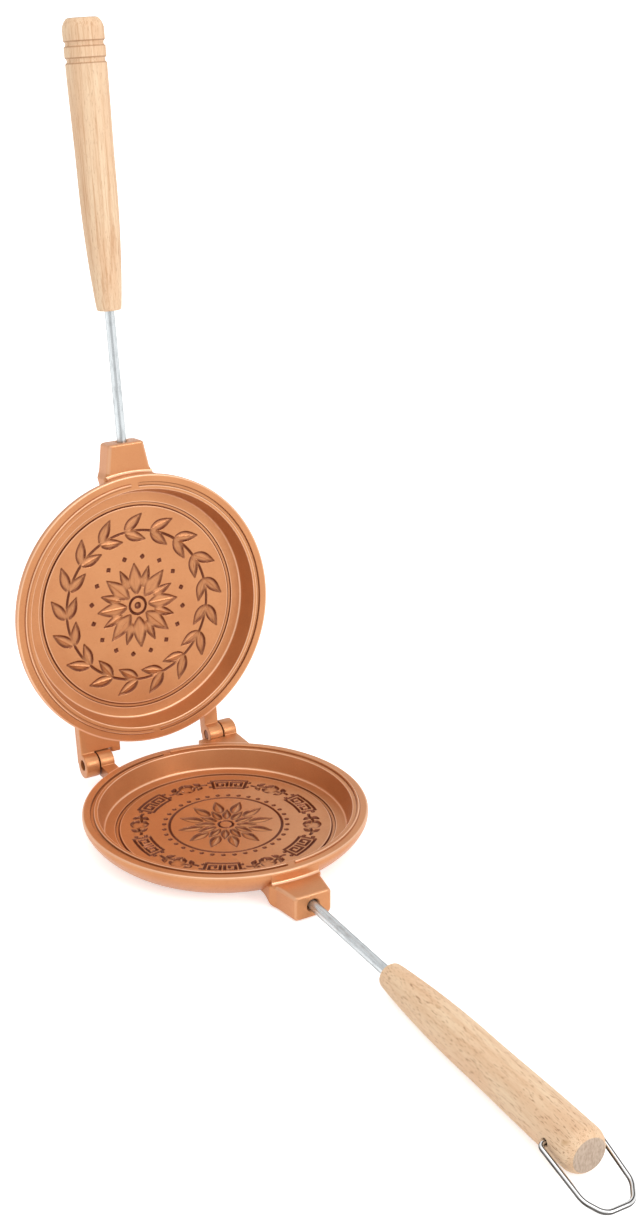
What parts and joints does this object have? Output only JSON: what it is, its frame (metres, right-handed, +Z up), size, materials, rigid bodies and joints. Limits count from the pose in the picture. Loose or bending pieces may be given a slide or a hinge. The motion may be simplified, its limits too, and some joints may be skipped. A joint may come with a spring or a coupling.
{
  "type": "stovetop sandwich maker",
  "caption": "Round two-pan stovetop sandwich maker with back hinge, steel rods, turned wooden grips and a wire bail latch.",
  "frame": {"origin": "centre of the lower pan's flat underside", "axes": "+Z up, -Y along the handles towards the user, +X along the hinge to the user's right; the object stands open on a table that is level with Z, its front raised by 1.5 degrees because the lower grip hangs below the pan"},
  "size_m": [0.144, 0.4755, 0.3845],
  "materials": {
    "copper_coat": "satin copper-coloured non-stick coat on die-cast aluminium, darker in the recesses",
    "rod_steel": "drawn steel rod, zinc-bright, faint length-wise lines",
    "pin_steel": "steel pin, its end covered by the copper-coloured coat",
    "beech": "bare pale beech, fine length-wise grain with a few small knots and flecks",
    "bail_chrome": "bright chrome-plated wire"
  },
  "bodies": {
    "lower_half": {"lower_pan": "copper_coat", "hinge_pin_right": "pin_steel", "lower_handle_rod": "rod_steel", "lower_grip": "beech"},
    "upper_half": {"upper_pan": "copper_coat", "hinge_pin_left": "pin_steel", "upper_handle_rod": "rod_steel", "upper_grip": "beech"},
    "bail": {"latch_bail": "bail_chrome"}
  },
  "joints": [
    {"name": "lid_hinge", "type": "hinge", "parent": "lower_half", "child": "upper_half", "pos_m": [0, 0.07696, 0.01318], "axis": [1, 0, 0], "range_deg": [0, 97.3]},
    {"name": "bail_swing", "type": "hinge", "parent": "lower_half", "child": "bail", "pos_m": [0, -0.28314, 0.0097], "axis": [-1, 0, 0], "range_deg": [-132, 102.79]}
  ]
}
